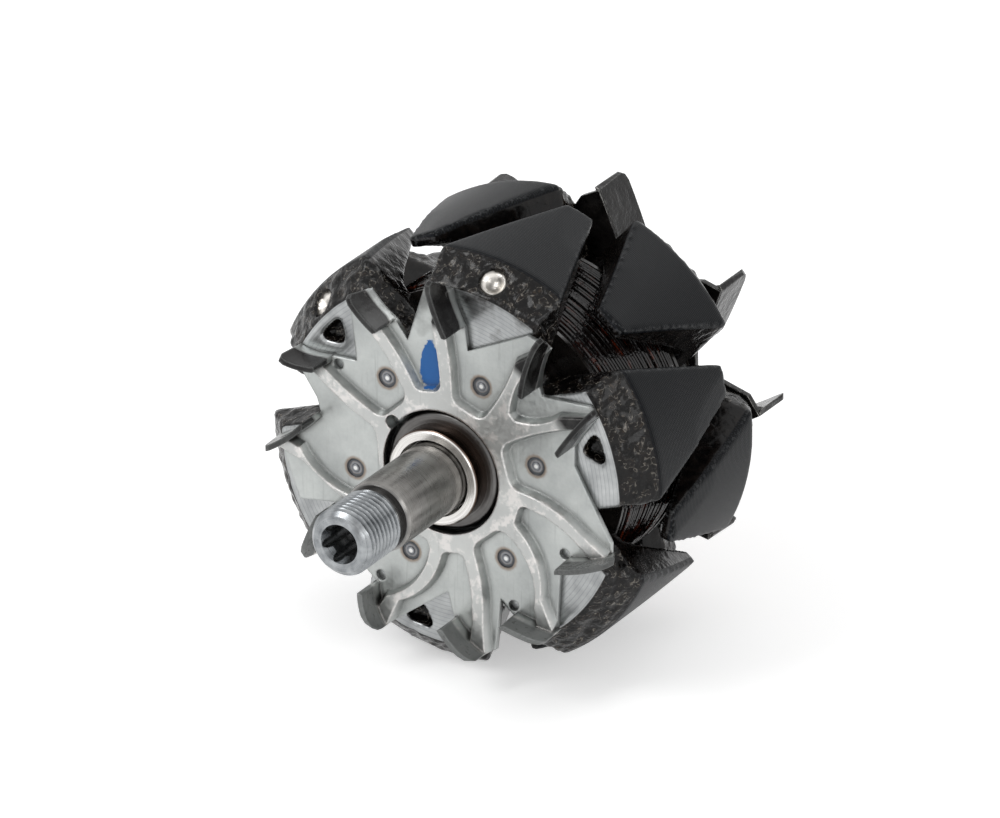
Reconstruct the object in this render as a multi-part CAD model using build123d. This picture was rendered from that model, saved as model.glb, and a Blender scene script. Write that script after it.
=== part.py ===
from build123d import *
import math
import os

os.makedirs("parts", exist_ok=True)

# Claw pole rotor of a vehicle alternator. All lengths in millimetres, angles in degrees.
# The shaft lies along Y, its threaded drive end towards -Y. The origin is the middle of the
# front bearing seat, on the shaft axis. Angles round the shaft run from +X towards +Z.

# shaft
SEAT_R = 8.5
SEAT_LEN = 14.0
TIP_Y = -33.4
THREAD_R = 8.0
THREAD_CHAMFER = 1.3
UNDERCUT_R = 6.9
UNDERCUT_LEN = 2.6
JOURNAL_FRONT_Y = -17.1
BODY_R = 9.5
RELIEF_LEN = 1.0
RELIEF_DEEP = 0.3
SHAFT_GAP = 0.3
REAR_SEAT_LEN = 12.0
STUB_R = 3.8
SOCKET_R = 3.55
SOCKET_LOBE_R = 1.1
SOCKET_MOUTH_R = 4.75
SOCKET_DEPTH = 9.0
DRILL_DEPTH = 10.5
DRILL_TIP = 2.0
DRILL_IN = 0.6

# pole pieces, measured in each pole's own frame from its flat face
POLE_FACE_Y = 14.4
ROTOR_MID_Y = 43.0
CLAWS = 6
CLAW_PHASE = 18.7
POLE_R = 51.0
FACE_R = 44.1
SHOULDER_LEN = 7.5
DISC_LEN = 13.4
CLAW_LEN = 42.1
TIP_THICK = 3.1
HUB_R = 32.0
BOSS_R = 14.3
BOSS_LEN = 2.6
LOBE_HALF = 14.0
ROOT_HALF = 15.9
TIP_HALF = 3.7
TIP_ROUND = 1.6
CHAMFER_WIDE = 3.1
CHAMFER_DEEP = 1.1
POCKET_R = 41.8
POCKET_APEX_R = 36.4
POCKET_HALF = 4.4
POCKET_DEEP = 3.2
POCKET_ROUND = 0.9
DIMPLE_R = 3.3
DIMPLE_DEEP = 1.2
DIMPLE_POLE_R = 47.4
DIMPLE_Y = 3.7

# winding inside the claws
CORE_R = 27.0
BOBBIN_WALL = 1.0
BOBBIN_R = 38.2
COIL_PROUD = 1.0
CLAW_CLEAR = 2.2
COIL_GAP = 0.3

# fans: pressed sheet with a raised ring and raised ribs between flat pads, blades bent up
SHEET = 1.4
FAN_HOLE_R = 15.1
RIB_RISE = 2.2
RIB_FOOT = 4.7
PAD_SLOPE = 22.0
PAD_ROUND = 3.0
RIB_HALF_R = 28.0
RIB_NEAR_R = 37.0
RIB_MEETS_R = 41.5
RIB_EDGE = 1.7
BLADE_T = 1.3
FRONT_FOOT_R = 44.6
REAR_FOOT_R = 48.4
BLADE_LEAN_IN = 0.6
BLADE_ROUND = 2.0
FRONT_BLADE_H = 8.0
REAR_BLADE_H = 11.0
SLOT_R = 1.3
WELD_R = 24.4
WELD_MARK_R = 2.2
WELD_CENTRE_R = 0.9
WELD_DEEP = 0.25
NOTCH_R = 1.9
NOTCH_ANGLE = 143.0

# one row per blade: radius of its inner end, of its outer end, of the sheet's corner beside it and
# of the dip before the next blade, and inner radius of the flat pad that follows its rib
FRONT_BLADE_RADII = [
    (36.2, 50.2, 44.4, 34.5, 26.5),
    (35.4, 49.9, 43.2, 31.0, 19.0),
    (36.3, 48.6, 44.0, 31.3, 20.5),
    (36.2, 46.0, 44.4, 31.7, 19.0),
    (36.3, 45.2, 42.0, 35.4, 19.0),
    (33.6, 43.9, 43.2, 42.0, 24.6),
    (33.0, 43.3, 43.5, 36.5, 19.0),
    (37.1, 43.9, 44.6, 30.5, 20.5),
    (36.4, 44.4, 44.2, 32.3, 19.0),
    (36.8, 45.0, 43.4, 35.0, 21.5),
    (36.0, 48.3, 43.8, 34.5, 19.0),
]
# and the angles: inner end, half way out, outer end, corner, dip, then the raised rib at the ring,
# half way and near the blade
FRONT_BLADE_ANGLES = [
    (21.9, 27.9, 31.2, 32.6, 43.5, 37.5, 35, 31.5),
    (46.4, 52.2, 54.3, 60.7, 79.3, 50.4, 52.4, 56),
    (82.0, 87.2, 89.8, 97.2, 108.5, 85.7, 88.5, 91.5),
    (111.2, 115.2, 117.0, 124.6, 137.4, 113.8, 115.7, 119.3),
    (144.2, 149.0, 151.0, 156.5, 163.5, 152.7, 152.7, 150.5),
    (168.4, 177.8, 182.1, 187.0, 203.0, 219, 206, 186.5),
    (207.3, 212.8, 217.8, 222.0, 234.0, 236, 228, 217),
    (239.7, 243.3, 248.6, 250.4, 271.0, 266, 261, 249.5),
    (273.3, 277.8, 283.5, 287.2, 296.5, 291, 289, 285),
    (299.8, 305.5, 310.9, 312.2, 329.0, 331, 326, 313),
    (335.0, 341.6, 348.0, 348.8, 14.0, 355, 353, 347),
]
SLOT_BLADES = (4, 7, 9, 10)
REAR_BLADE_IN_R = 34.5
REAR_BLADE_OUT_R = 48.8
REAR_CORNER_R = 45.6
REAR_PAD_R = 20.0
LEAD_CLEAR = 3.6
REAR_BLADE_ANGLES = [
    (24.2, 32.5, 38.5, 43.5, 60.0, 32, 35, 38),
    (69.0, 77.3, 83.3, 88.5, 103.0, 77, 80, 82),
    (108.0, 116.3, 122.3, 127.5, 139.0, 117, 119, 121),
    (146.0, 154.3, 160.3, 165.5, 180.0, 154, 157, 160),
    (186.0, 194.3, 200.3, 205.5, 220.0, 194, 197, 200),
    (226.0, 234.3, 240.3, 245.5, 258.7, 234, 237, 240),
    (265.0, 273.3, 279.3, 284.5, 299.0, 273, 276, 279),
    (303.0, 311.3, 317.2, 322.5, 340.0, 311, 314, 317),
    (347.5, 355.8, 1.7, 7.0, 17.0, 355, 358, 1),
]
WELD_ANGLES = [14.6, 67.5, 128.8, 192.6, 247.7, 310.3]

# spacer rings
RING_OUT_R = 11.6
RING_MOUTH_R = 9.3
RING_EDGE = 0.5

# slip ring unit on the rear end
SLIP_R = 7.8
SLIP_IN_R = 6.0
SLIP_LEN = 8.0
SLIP_SPACE = 2.4
SLIP_WALL_R = 7.5
TONGUE_WIDE = 3.4
TONGUE_IN_R = 4.3
TONGUE_OUT_R = 8.1
BAR_WIDE = 1.8
BAR_IN_R = 4.8
BAR_OUT_R = 5.8
LEAD_R = 0.8
SLEEVE_R = 1.5
SLEEVE_END_R = 24.0
LEAD_INSET = 1.6
LEAD_DIP_R = 22.0
LEAD_LOW_R = 17.0
LEAD_BEND = 2.0
LEAD_ANGLES = (138.7, 258.7)
TERMINAL_R = 14.2
TAB_WIDE = 2.6
FIT = 0.1

# radii and stations that follow from the dimensions above
COIL_R = BOBBIN_R + COIL_PROUD
CLAW_ROOT_R = BOBBIN_R + CLAW_CLEAR
LEAD_POLE_R = BOBBIN_R - LEAD_INSET
REAR_FACE_Y = 2 * ROTOR_MID_Y - POLE_FACE_Y
FRONT_BOSS_Y = POLE_FACE_Y - BOSS_LEN
REAR_BOSS_Y = REAR_FACE_Y + BOSS_LEN
RING_FACE_Y = SEAT_LEN / 2
COIL_FRONT_Y = POLE_FACE_Y + DISC_LEN
COIL_REAR_Y = REAR_FACE_Y - DISC_LEN
REAR_RING_Y = REAR_BOSS_Y + (FRONT_BOSS_Y - RING_FACE_Y)
REAR_SEAT_END_Y = REAR_RING_Y + REAR_SEAT_LEN
SLIP_START_Y = REAR_SEAT_END_Y + 1.2
SLIP_FIRST_Y = SLIP_START_Y + SLIP_SPACE
SLIP_SECOND_Y = SLIP_FIRST_Y + SLIP_LEN + SLIP_SPACE
SLIP_END_Y = SLIP_SECOND_Y + SLIP_LEN + SLIP_SPACE
REAR_END_Y = SLIP_END_Y + 1.0


def polar(radius, angle):
    """Point of a cross plane, from +X towards +Z."""
    a = math.radians(angle)
    return (radius * math.cos(a), radius * math.sin(a))


def cross_plane(y):
    """Plane across the shaft at y whose own axes are X and Z; it faces the drive end."""
    return Plane(origin=(0, y, 0), x_dir=(1, 0, 0), z_dir=(0, -1, 0))


def turned(points):
    """Solid of revolution about the shaft from a profile of (radius, y) points."""
    face = make_face(Polyline(*points, close=True))
    return revolve(face, Axis.Y, 360)


def tube(outer, inner, y0, y1):
    return turned([(inner, y0), (outer, y0), (outer, y1), (inner, y1)])


def slab(face, y0, y1):
    """Prism of a flat outline drawn in X and Z, from y0 to the larger y1."""
    return extrude(cross_plane(y1) * face, y1 - y0)


def spun(shape, angle):
    """Turns a shape about the shaft by an angle counted from +X towards +Z."""
    return Rot(0, -angle, 0) * shape


def save(shape, node):
    export_step(shape, "parts/" + node + ".step")


# shaft

def socket():
    """Six-lobed driving socket in the threaded end."""
    star = Circle(SOCKET_R)
    for k in range(6):
        star += Pos(*polar(SOCKET_R, 60 * k + 15)) * Circle(SOCKET_LOBE_R)
    hole = slab(star, TIP_Y - 1, TIP_Y + SOCKET_DEPTH)
    mouth = turned([(0, TIP_Y - 1), (SOCKET_MOUTH_R, TIP_Y - 1), (SOCKET_MOUTH_R, TIP_Y + 1.2),
                    (SOCKET_R, TIP_Y + 2.4), (0, TIP_Y + 2.4)])
    drill_r = SOCKET_R - DRILL_IN
    drill = turned([(0, TIP_Y), (drill_r, TIP_Y), (drill_r, TIP_Y + DRILL_DEPTH),
                    (0, TIP_Y + DRILL_DEPTH + DRILL_TIP)])
    return hole + mouth + drill


def shaft():
    body = turned([
        (0, TIP_Y),
        (THREAD_R - THREAD_CHAMFER, TIP_Y),
        (THREAD_R, TIP_Y + THREAD_CHAMFER),
        (THREAD_R, JOURNAL_FRONT_Y - UNDERCUT_LEN),
        (UNDERCUT_R, JOURNAL_FRONT_Y - UNDERCUT_LEN + 0.9),
        (UNDERCUT_R, JOURNAL_FRONT_Y),
        (SEAT_R - 0.7, JOURNAL_FRONT_Y),
        (SEAT_R, JOURNAL_FRONT_Y + 0.9),
        (SEAT_R, RING_FACE_Y - RELIEF_LEN),
        (SEAT_R - RELIEF_DEEP, RING_FACE_Y - RELIEF_LEN),
        (SEAT_R - RELIEF_DEEP, RING_FACE_Y + 0.4),
        (SEAT_R, RING_FACE_Y + 0.4),
        (SEAT_R, FRONT_BOSS_Y),
        (BODY_R, FRONT_BOSS_Y),
        (BODY_R, REAR_BOSS_Y),
        (SEAT_R, REAR_BOSS_Y),
        (SEAT_R, REAR_RING_Y - 0.4),
        (SEAT_R - RELIEF_DEEP, REAR_RING_Y - 0.4),
        (SEAT_R - RELIEF_DEEP, REAR_RING_Y + RELIEF_LEN),
        (SEAT_R, REAR_RING_Y + RELIEF_LEN),
        (SEAT_R, REAR_SEAT_END_Y - 0.6),
        (SEAT_R - 0.6, REAR_SEAT_END_Y),
        (STUB_R, REAR_SEAT_END_Y),
        (STUB_R, REAR_END_Y - 1.5),
        (0, REAR_END_Y - 1.5),
    ])
    body -= socket()
    depth = TONGUE_OUT_R + 2 - TONGUE_IN_R + FIT
    for angle in LEAD_ANGLES:
        y0 = REAR_BOSS_Y
        groove = Box(depth, SLIP_START_Y + 2 - y0, TONGUE_WIDE + 2 * FIT)
        at = Pos(TONGUE_IN_R - FIT + depth / 2, (SLIP_START_Y + 2 + y0) / 2, 0)
        body -= spun(at * groove, angle)
    return body


def spacer_ring(y_out, y_in):
    """Ring between bearing and pole: y_out is the bearing's side, y_in the pole's side."""
    s = 1 if y_in > y_out else -1
    inner = SEAT_R + SHAFT_GAP
    return turned([
        (RING_MOUTH_R, y_out),
        (RING_OUT_R - RING_EDGE, y_out),
        (RING_OUT_R, y_out + s * RING_EDGE),
        (RING_OUT_R, y_in),
        (inner, y_in),
        (inner, y_out + s * 1.4),
        (RING_MOUTH_R, y_out + s * 0.8),
    ])


# pole pieces

def pole_blank():
    """Turned outline of a pole: face at y 0, claws towards +y."""
    return turned([
        (BODY_R + SHAFT_GAP, -BOSS_LEN),
        (BOSS_R - 0.5, -BOSS_LEN),
        (BOSS_R, -BOSS_LEN + 0.5),
        (BOSS_R, 0),
        (FACE_R, 0),
        (FACE_R + 1.2, 0.7),
        (POLE_R, SHOULDER_LEN),
        (POLE_R, CLAW_LEN),
        (POLE_R - TIP_THICK, CLAW_LEN),
        (CLAW_ROOT_R, DISC_LEN),
        (BODY_R + SHAFT_GAP, DISC_LEN),
    ])


def shield():
    """Outline of one claw seen from outside, drawn as (across, along the shaft)."""
    outline = Polyline(
        (-LOBE_HALF, -BOSS_LEN - 1), (-LOBE_HALF, 0), (-ROOT_HALF, SHOULDER_LEN), (-TIP_HALF, CLAW_LEN),
        (TIP_HALF, CLAW_LEN), (ROOT_HALF, SHOULDER_LEN), (LOBE_HALF, 0), (LOBE_HALF, -BOSS_LEN - 1),
        close=True)
    face = make_face(outline)
    tips = face.vertices().sort_by(Axis.Y)[-2:]
    return fillet(tips, TIP_ROUND)


def claw_chamfer():
    """Wedge that bevels the trailing long edge of one claw."""
    run = CLAW_LEN - SHOULDER_LEN
    lean = math.degrees(math.atan2(ROOT_HALF - TIP_HALF, run))
    tilt = math.degrees(math.atan2(CHAMFER_DEEP, CHAMFER_WIDE))
    deep = 2.6 * CHAMFER_WIDE
    wide = 3.9 * CHAMFER_WIDE
    block = Pos(deep / 2, 0, -wide / 6) * Box(deep, 3 * run, wide)
    mid_half = (ROOT_HALF + TIP_HALF) / 2
    mid_y = (SHOULDER_LEN + CLAW_LEN) / 2
    edge_x = math.sqrt(POLE_R ** 2 - (mid_half - CHAMFER_WIDE) ** 2)
    return Pos(edge_x, mid_y, -(mid_half - CHAMFER_WIDE)) * Rot(lean, 0, 0) * Rot(0, tilt - 11, 0) * block


def pockets():
    """Three blind pockets in the face, on every other lobe."""
    corners = [(POCKET_R, -POCKET_HALF), (POCKET_R, POCKET_HALF), (POCKET_APEX_R, 0)]
    tri = make_face(Polyline(*corners, close=True))
    tri = fillet(tri.vertices(), POCKET_ROUND)
    cut = slab(tri, -1, POCKET_DEEP)
    return [spun(cut, 120 * k) for k in range(3)]


def dimple(angle):
    """Conical balance drilling, square to the sloping shoulder."""
    cone = Cylinder(DIMPLE_R, 2 * DIMPLE_R, align=(Align.CENTER, Align.CENTER, Align.MIN))
    tip = Pos(0, 0, -1.9) * Cone(0.05, DIMPLE_R, 1.9, align=(Align.CENTER, Align.CENTER, Align.MIN))
    tool = Pos(0, 0, -DIMPLE_DEEP) * (cone + tip)
    slope = math.degrees(math.atan2(SHOULDER_LEN, POLE_R - FACE_R))
    at = Plane(origin=(DIMPLE_POLE_R, DIMPLE_Y, 0),
               x_dir=(0, 0, 1),
               z_dir=(math.sin(math.radians(slope)), -math.cos(math.radians(slope)), 0))
    return spun(at.location * tool, angle)


def claw_pole():
    """Pole piece with one claw centred on angle 0, face at y 0."""
    # the claw is drawn across (Z) and along (Y), then pushed out along X
    side = Plane(origin=(0, 0, 0), x_dir=(0, 0, -1), z_dir=(1, 0, 0))
    arm = extrude(side * shield(), 1.2 * POLE_R)
    blank = pole_blank()
    claw = (arm & blank) - claw_chamfer()
    disc = blank & tube(HUB_R, 1, -BOSS_LEN - 1, DISC_LEN)
    pole = disc
    for k in range(CLAWS):
        pole += spun(claw, 360 / CLAWS * k)
    pole -= tube(BODY_R + SHAFT_GAP, 0.0, -BOSS_LEN - 2, DISC_LEN + 2)
    for cut in pockets():
        pole -= cut
    return pole


def front_pole(piece):
    pole = piece - dimple(60) - dimple(120)
    return Pos(0, POLE_FACE_Y, 0) * spun(pole, CLAW_PHASE)


def rear_pole(piece):
    # the same pressing turned end for end, its claws half a pitch on
    return Pos(0, REAR_FACE_Y, 0) * spun(Rot(180, 0, 0) * piece, CLAW_PHASE + 180 / CLAWS)


# winding

def pole_core():
    return tube(CORE_R, BODY_R + SHAFT_GAP, COIL_FRONT_Y, COIL_REAR_Y)


def bobbin():
    inner = CORE_R + SHAFT_GAP
    former = tube(inner + BOBBIN_WALL, inner, COIL_FRONT_Y, COIL_REAR_Y)
    former += tube(BOBBIN_R, inner, COIL_FRONT_Y, COIL_FRONT_Y + BOBBIN_WALL)
    former += tube(BOBBIN_R, inner, COIL_REAR_Y - BOBBIN_WALL, COIL_REAR_Y)
    for angle in LEAD_ANGLES:
        hole = Pos(*polar(LEAD_POLE_R, angle)) * Circle(LEAD_R + FIT)
        former -= slab(hole, COIL_REAR_Y - 3, COIL_REAR_Y + 1)
    return former


def field_winding():
    y0 = COIL_FRONT_Y + BOBBIN_WALL
    y1 = COIL_REAR_Y - BOBBIN_WALL
    inner = CORE_R + SHAFT_GAP + BOBBIN_WALL + COIL_GAP
    return turned([
        (inner, y0), (BOBBIN_R - 1.0, y0), (COIL_R, y0 + 2.5), (COIL_R, y1 - 2.5),
        (BOBBIN_R - 1.0, y1), (inner, y1)])


# fans

def blade_rows(radii, angles, slotted):
    """One row per blade, its radii and angles put together in the order the outline needs them."""
    rows = []
    for k, (r, a) in enumerate(zip(radii, angles)):
        slot = k in slotted
        rows.append((r[0], a[0], a[1], r[1], a[2], r[2], a[3], r[3], a[4], a[5], a[6], a[7], r[4], slot))
    return rows


def wrapped(angle, near):
    """The same angle, written within half a turn of another one."""
    return near + (angle - near + 180) % 360 - 180


def blade_angle(row, radius, shift=0.0):
    """Angle of a blade's line at a radius; shift moves it sideways by a length."""
    in_r, in_a, mid_a, out_r, out_a = row[:5]
    mid_a = wrapped(mid_a, in_a)
    out_a = wrapped(out_a, mid_a)
    mid_r = (in_r + out_r) / 2
    if radius < mid_r:
        angle = in_a + (mid_a - in_a) * (radius - in_r) / (mid_r - in_r)
    else:
        angle = mid_a + (out_a - mid_a) * (radius - mid_r) / (out_r - mid_r)
    return angle + math.degrees(shift / radius)


def blade_line(row, far, shift=0.0):
    """Line of a blade seen along the shaft: bowed, its outer end leading."""
    radii = (row[0], (row[0] + row[3]) / 2, far)
    return ThreePointArc(*[polar(r, blade_angle(row, r, shift)) for r in radii])


def sheet_outline(rows, foot_r):
    """Flat outline of a fan: out along each blade, back in to the dip before the next."""
    parts = []
    for k, row in enumerate(rows):
        following = rows[(k + 1) % len(rows)]
        foot = blade_line(row, foot_r)
        corner = polar(row[5], row[6])
        dip = polar(row[7], row[8])
        parts += [foot, Line(foot @ 1, corner), Line(corner, dip),
                  Line(dip, polar(following[0], following[1]))]
    outline = make_face(Curve() + parts)
    for row in rows:
        if row[13]:
            outline -= Pos(*polar(row[0] - 2.0, row[1] + 1.0)) * Circle(SLOT_R)
    return outline


def pad(row, following, foot_r):
    """Outline of the flat pad between the rib of one blade and the rib of the next."""
    inner = row[12]
    side = RIB_FOOT / 2
    near, half = RIB_NEAR_R, RIB_HALF_R

    def beside(radius, angle, shift):
        return polar(radius, angle + math.degrees(shift / radius))

    start = beside(inner, row[9], side)
    end = beside(inner, following[9], -side)
    far = 1.2 * POLE_R
    points = [
        beside(near, row[11], side),
        polar(foot_r, blade_angle(row, foot_r, RIB_EDGE)),
        polar(far, blade_angle(row, foot_r, RIB_EDGE) + 1),
        polar(far, following[1]),
        polar(RIB_MEETS_R, blade_angle(following, RIB_MEETS_R)),
        beside(near, following[11], -side),
    ]
    outline = make_face(Curve() + [
        ThreePointArc(start, beside(half, row[10], side), points[0]),
        Polyline(*points),
        ThreePointArc(points[-1], beside(half, following[10], -side), end),
        Line(end, start)])
    corners = outline.vertices().sort_by(lambda v: math.hypot(v.X, v.Y))[:2]
    width = math.dist(start, end)
    return fillet(corners, min(PAD_ROUND, 0.3 * width))


def pad_cut(row, following, foot_r):
    """Room over a pad, its sides sloping outwards up to the tops of the ribs."""
    outline = pad(row, following, foot_r)
    at = Plane(origin=(0, 0, 0), x_dir=(1, 0, 0), z_dir=(0, 1, 0))
    return extrude(at * mirror(outline, about=Plane.XZ), RIB_RISE + 0.5, taper=-PAD_SLOPE)


def blade(row, height, foot_r):
    """One blade, trimmed to its sloping outer edge and its rounded tip."""
    far = max(row[3], foot_r)
    wall = trace(blade_line(row, far, BLADE_T / 2), BLADE_T)
    solid = slab(wall, -SHEET / 2, height)
    room = turned([
        (row[0] - BLADE_LEAN_IN, -SHEET), (row[0] - BLADE_LEAN_IN, 0), (row[0], height),
        (row[3] - BLADE_ROUND, height), (row[3] - 0.3 * BLADE_ROUND, height - 0.3 * BLADE_ROUND),
        (row[3], height - BLADE_ROUND), (foot_r, -SHEET)])
    return solid & room


def fan(rows, height, foot_r):
    """Fan with its seat at y -SHEET and its pads at y 0, blades towards +y."""
    piece = slab(sheet_outline(rows, foot_r), -SHEET, RIB_RISE)
    for k, row in enumerate(rows):
        piece -= pad_cut(row, rows[(k + 1) % len(rows)], foot_r)
    for row in rows:
        piece += blade(row, height, foot_r)
    return piece - tube(FAN_HOLE_R, 0, -SHEET - 1, RIB_RISE + 1)


def weld_marks(angles):
    marks = []
    for angle in angles:
        spot = Pos(*polar(WELD_R, angle)) * (Circle(WELD_MARK_R) - Circle(WELD_CENTRE_R))
        marks.append(slab(spot, -WELD_DEEP, 0.1))
    return marks


def front_fan():
    # drawn as seen from the drive end with the blades towards +y, so mirrored over to -y
    rows = blade_rows(FRONT_BLADE_RADII, FRONT_BLADE_ANGLES, SLOT_BLADES)
    piece = fan(rows, FRONT_BLADE_H, FRONT_FOOT_R)
    for mark in weld_marks(WELD_ANGLES):
        piece -= mark
    notch = Pos(*polar(FAN_HOLE_R + 0.6, NOTCH_ANGLE)) * Circle(NOTCH_R)
    piece -= slab(notch, -SHEET - 1, RIB_RISE + 1)
    return Pos(0, POLE_FACE_Y - SHEET, 0) * mirror(piece, about=Plane.XZ)


def rear_fan():
    # its dips stay inside the two leads that pass through them
    radii = (REAR_BLADE_IN_R, REAR_BLADE_OUT_R, REAR_CORNER_R, LEAD_POLE_R - LEAD_CLEAR, REAR_PAD_R)
    rows = blade_rows([radii] * len(REAR_BLADE_ANGLES), REAR_BLADE_ANGLES, ())
    piece = fan(rows, REAR_BLADE_H, REAR_FOOT_R)
    for mark in weld_marks([30 + 60 * k for k in range(6)]):
        piece -= mark
    return Pos(0, REAR_FACE_Y + SHEET, 0) * piece


# slip rings and leads

def slip_body():
    inner = STUB_R + SHAFT_GAP
    body = tube(SLIP_IN_R, inner, SLIP_START_Y, SLIP_END_Y)
    for y in (SLIP_START_Y, SLIP_FIRST_Y + SLIP_LEN, SLIP_SECOND_Y + SLIP_LEN):
        body += tube(SLIP_WALL_R, inner, y, y + SLIP_SPACE)
    body += tube(SLIP_IN_R - 1.2, 0, SLIP_END_Y - 1.0, REAR_END_Y)
    length = SLIP_START_Y + 1.0 - REAR_BOSS_Y
    for angle in LEAD_ANGLES:
        wide = TONGUE_OUT_R - TONGUE_IN_R
        tongue = Pos(TONGUE_IN_R + wide / 2, REAR_BOSS_Y + length / 2, 0) * Box(wide, length, TONGUE_WIDE)
        body += spun(tongue, angle)
    body -= tube(STUB_R + SHAFT_GAP, 0, REAR_SEAT_END_Y, REAR_END_Y - 1.2)
    for k in range(2):
        body -= slip_bar(k)
    return body


def slip_bar(k):
    """Copper bar of ring k: along the shaft, out to the ring, and out to its terminal."""
    y_ring = (SLIP_FIRST_Y, SLIP_SECOND_Y)[k] + SLIP_LEN / 2
    y_lug = REAR_BOSS_Y + 1.6
    run = y_ring - y_lug
    flat = Pos((BAR_IN_R + BAR_OUT_R) / 2, y_lug + run / 2, 0) * Box(BAR_OUT_R - BAR_IN_R, run, BAR_WIDE)
    tab_out = SLIP_IN_R - 0.08
    tab = Pos((BAR_IN_R + tab_out) / 2, y_ring - 1, 0) * Box(tab_out - BAR_IN_R, 2, BAR_WIDE)
    reach = SEAT_R - 0.2 - BAR_IN_R
    lug = Pos(BAR_IN_R + reach / 2, y_lug + 0.5, 0) * Box(reach, 1.0, BAR_WIDE)
    return spun(flat + tab + lug, LEAD_ANGLES[k])


def slip_ring(y0):
    return tube(SLIP_R, SLIP_IN_R, y0, y0 + SLIP_LEN)


def terminal(k):
    """Flat copper tab between the slip ring bar and the end of a lead."""
    inner = SEAT_R - 0.2
    tab = Pos((inner + TERMINAL_R) / 2, REAR_BOSS_Y + 2.1, 0) * Box(TERMINAL_R - inner, 1.0, TAB_WIDE)
    return spun(tab, LEAD_ANGLES[k])


def rear_ring():
    """Spacer ring of the rear bearing, slotted on the pole's side for the two terminals."""
    ring = spacer_ring(REAR_RING_Y, REAR_BOSS_Y)
    deep = 2.6 + FIT
    for angle in LEAD_ANGLES:
        across = 2 * (RING_OUT_R - SEAT_R + 1.5)
        slot = Pos(RING_OUT_R, REAR_BOSS_Y + deep / 2, 0) * Box(across, deep, TAB_WIDE + 0.4)
        ring -= spun(slot, angle)
    return ring


def lead_path(k):
    """From the winding through the valley of the rear pole, then in over the fan's sheet."""
    over_y = REAR_FACE_Y + SHEET + RIB_RISE + SLEEVE_R + 0.3
    end_y = REAR_BOSS_Y + 1.6 + 1.0 + LEAD_R
    pts = [
        (LEAD_POLE_R, COIL_REAR_Y - BOBBIN_WALL),
        (LEAD_POLE_R, over_y),
        (LEAD_DIP_R, over_y),
        (LEAD_LOW_R, end_y),
        (RING_OUT_R + 0.4, end_y)]
    return FilletPolyline(*[(r, y, 0) for r, y in pts], radius=LEAD_BEND)


def lead(k):
    path = lead_path(k)
    start = Plane(origin=path @ 0, z_dir=path % 0)
    return spun(sweep(start * Circle(LEAD_R), path), LEAD_ANGLES[k])


def lead_sleeve(k):
    """Woven sleeve on the straight run of a lead over the fan."""
    y = REAR_FACE_Y + SHEET + RIB_RISE + SLEEVE_R + 0.3
    run = LEAD_POLE_R - 2.4 - SLEEVE_END_R
    sleeve = Cylinder(SLEEVE_R, run) - Cylinder(LEAD_R + 0.05, run)
    return spun(Pos(SLEEVE_END_R + run / 2, y, 0) * Rot(0, 90, 0) * sleeve, LEAD_ANGLES[k])


def build_all():
    save(shaft(), "shaft")
    save(spacer_ring(RING_FACE_Y, FRONT_BOSS_Y), "front_spacer_ring")
    save(rear_ring(), "rear_spacer_ring")
    piece = claw_pole()
    save(front_pole(piece), "front_pole")
    save(rear_pole(piece), "rear_pole")
    save(pole_core(), "pole_core")
    save(bobbin(), "bobbin")
    save(field_winding(), "field_winding")
    save(front_fan(), "front_fan")
    save(rear_fan(), "rear_fan")
    save(slip_ring(SLIP_FIRST_Y), "slip_ring_inner")
    save(slip_ring(SLIP_SECOND_Y), "slip_ring_outer")
    save(slip_body(), "slip_ring_body")
    for k, letter in enumerate("ab"):
        save(slip_bar(k), "slip_bar_" + letter)
        save(terminal(k), "terminal_" + letter)
        save(lead(k), "lead_" + letter)
        save(lead_sleeve(k), "lead_sleeve_" + letter)


build_all()
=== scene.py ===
import math

import bmesh
import bpy
import numpy as np
from mathutils import Matrix, Vector


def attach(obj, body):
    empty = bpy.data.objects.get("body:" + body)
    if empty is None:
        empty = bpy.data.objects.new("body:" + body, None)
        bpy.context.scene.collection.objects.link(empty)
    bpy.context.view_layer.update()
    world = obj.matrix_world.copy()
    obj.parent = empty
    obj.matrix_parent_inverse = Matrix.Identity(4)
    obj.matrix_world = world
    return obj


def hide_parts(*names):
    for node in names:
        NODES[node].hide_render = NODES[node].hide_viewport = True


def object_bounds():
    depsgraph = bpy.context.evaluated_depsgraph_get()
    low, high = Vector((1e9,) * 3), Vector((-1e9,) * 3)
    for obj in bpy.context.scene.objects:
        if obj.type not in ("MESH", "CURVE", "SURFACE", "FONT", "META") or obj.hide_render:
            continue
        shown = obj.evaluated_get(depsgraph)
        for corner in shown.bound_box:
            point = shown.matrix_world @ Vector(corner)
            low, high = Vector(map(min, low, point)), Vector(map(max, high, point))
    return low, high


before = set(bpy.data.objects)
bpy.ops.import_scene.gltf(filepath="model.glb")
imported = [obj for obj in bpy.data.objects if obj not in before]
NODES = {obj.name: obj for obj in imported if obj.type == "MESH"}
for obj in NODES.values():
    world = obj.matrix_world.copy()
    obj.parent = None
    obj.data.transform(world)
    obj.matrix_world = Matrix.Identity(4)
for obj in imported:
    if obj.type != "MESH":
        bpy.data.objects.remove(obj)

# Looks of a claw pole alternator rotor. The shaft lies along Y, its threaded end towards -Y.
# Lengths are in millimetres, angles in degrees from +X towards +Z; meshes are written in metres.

MM = 0.001
CAD_BOX = [list(corner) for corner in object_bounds()]

# sizes of the solid part: stations along the shaft (_Y), radii (_R), angles

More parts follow.
